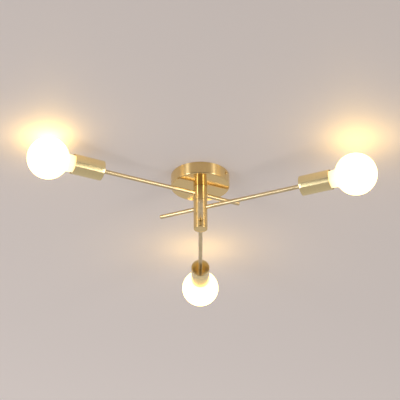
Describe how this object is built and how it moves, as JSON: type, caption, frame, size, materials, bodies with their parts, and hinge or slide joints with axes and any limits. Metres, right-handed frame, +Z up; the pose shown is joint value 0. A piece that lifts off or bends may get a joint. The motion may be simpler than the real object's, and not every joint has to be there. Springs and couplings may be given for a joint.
{
  "type": "semi flush ceiling light",
  "caption": "Semi flush ceiling light: round canopy, turned stem of stacked blocks with crossed arms that swivel, each with a straight socket cup and a screw-in globe lamp.",
  "frame": {"origin": "centre of the ceiling bracket, on the ceiling plane and on the stem's axis", "axes": "+Z up into the ceiling; the rear arm points along +Y; the picture looks along +Y"},
  "size_m": [0.6678, 0.5547, 0.1465],
  "materials": {
    "polished_brass": "polished",
    "brushed_brass": "satin brushed",
    "plain_brass": "machined",
    "zinc_steel": "zinc plated",
    "nickel_cap": "nickel plated",
    "ceramic": "fired, unglazed",
    "phenolic": "moulded",
    "black_glass": "fired",
    "opal_glass": "satin opal",
    "led_module": "bare",
    "solder": "soldered",
    "nylon": "moulded",
    "lead_sleeve": "smooth",
    "earth_sleeve": "smooth"
  },
  "bodies": {
    "mount": {"ceiling_bracket": "zinc_steel", "ground_screw": "plain_brass", "earth_lead": "earth_sleeve", "canopy": "polished_brass", "canopy_side_screws": "polished_brass", "terminal_block": "nylon", "stem_tube": "plain_brass", "stem_nuts": "plain_brass", "stem_lock_washer": "zinc_steel", "friction_washers": "nylon", "stem_spring_washer": "zinc_steel", "stem_leads": "lead_sleeve"},
    "arm_1": {"hub_1": "polished_brass", "arm_rod_1": "brushed_brass", "tail_rod_1": "brushed_brass", "arm_lead_1": "lead_sleeve", "socket_cup_1": "brushed_brass", "cup_nut_1": "zinc_steel", "holder_dome_1": "phenolic", "holder_insert_1": "ceramic", "holder_ring_1": "phenolic", "holder_contacts_1": "plain_brass"},
    "arm_2": {"hub_2": "polished_brass", "arm_rod_2": "brushed_brass", "tail_rod_2": "brushed_brass", "arm_lead_2": "lead_sleeve", "socket_cup_2": "brushed_brass", "cup_nut_2": "zinc_steel", "holder_dome_2": "phenolic", "holder_insert_2": "ceramic", "holder_ring_2": "phenolic", "holder_contacts_2": "plain_brass"},
    "arm_3": {"hub_3": "polished_brass", "arm_rod_3": "brushed_brass", "tail_rod_3": "brushed_brass", "arm_lead_3": "lead_sleeve", "socket_cup_3": "brushed_brass", "cup_nut_3": "zinc_steel", "holder_dome_3": "phenolic", "holder_insert_3": "ceramic", "holder_ring_3": "phenolic", "holder_contacts_3": "plain_brass", "stem_end_cap": "polished_brass"},
    "bulb_tip_1": {"bulb_tip_1": "solder"},
    "bulb_1": {"bulb_globe_1": "opal_glass", "bulb_cap_1": "nickel_cap", "bulb_insulator_1": "black_glass", "bulb_led_1": "led_module"},
    "bulb_tip_2": {"bulb_tip_2": "solder"},
    "bulb_2": {"bulb_globe_2": "opal_glass", "bulb_cap_2": "nickel_cap", "bulb_insulator_2": "black_glass", "bulb_led_2": "led_module"},
    "bulb_tip_3": {"bulb_tip_3": "solder"},
    "bulb_3": {"bulb_globe_3": "opal_glass", "bulb_cap_3": "nickel_cap", "bulb_insulator_3": "black_glass", "bulb_led_3": "led_module"}
  },
  "joints": [
    {"name": "arm_1_swivel", "type": "hinge", "parent": "mount", "child": "arm_1", "pos_m": [0, 0, -0.042], "axis": [0, 0, 1], "range_deg": [-45, 45]},
    {"name": "bulb_1_travel", "type": "slide", "parent": "arm_1", "child": "bulb_tip_1", "axis": [-0.891, -0.454, 0], "range_m": [0, 0.01633]},
    {"name": "bulb_1_turn", "type": "hinge", "parent": "bulb_tip_1", "child": "bulb_1", "pos_m": [-0.29029, -0.14791, -0.042], "axis": [-0.891, -0.454, 0], "range_deg": [0, 1620]},
    {"name": "arm_2_swivel", "type": "hinge", "parent": "mount", "child": "arm_2", "pos_m": [0, 0, -0.074], "axis": [0, 0, 1], "range_deg": [-45, 45]},
    {"name": "bulb_2_travel", "type": "slide", "parent": "arm_2", "child": "bulb_tip_2", "axis": [0.91, -0.4147, 0], "range_m": [0, 0.01633]},
    {"name": "bulb_2_turn", "type": "hinge", "parent": "bulb_tip_2", "child": "bulb_2", "pos_m": [0.29646, -0.13511, -0.074], "axis": [0.91, -0.4147, 0], "range_deg": [0, 1620]},
    {"name": "arm_3_swivel", "type": "hinge", "parent": "mount", "child": "arm_3", "pos_m": [0, 0, -0.106], "axis": [0, 0, 1], "range_deg": [-45, 45]},
    {"name": "bulb_3_travel", "type": "slide", "parent": "arm_3", "child": "bulb_tip_3", "axis": [0, 1, 0], "range_m": [0, 0.01633]},
    {"name": "bulb_3_turn", "type": "hinge", "parent": "bulb_tip_3", "child": "bulb_3", "pos_m": [0, 0.3258, -0.106], "axis": [0, 1, 0], "range_deg": [0, 1620]}
  ],
  "couplings": [
    {"joint": "bulb_1_travel", "follows": "bulb_1_turn", "m_per_rad": 0.00057757},
    {"joint": "bulb_2_travel", "follows": "bulb_2_turn", "m_per_rad": 0.00057757},
    {"joint": "bulb_3_travel", "follows": "bulb_3_turn", "m_per_rad": 0.00057757}
  ]
}
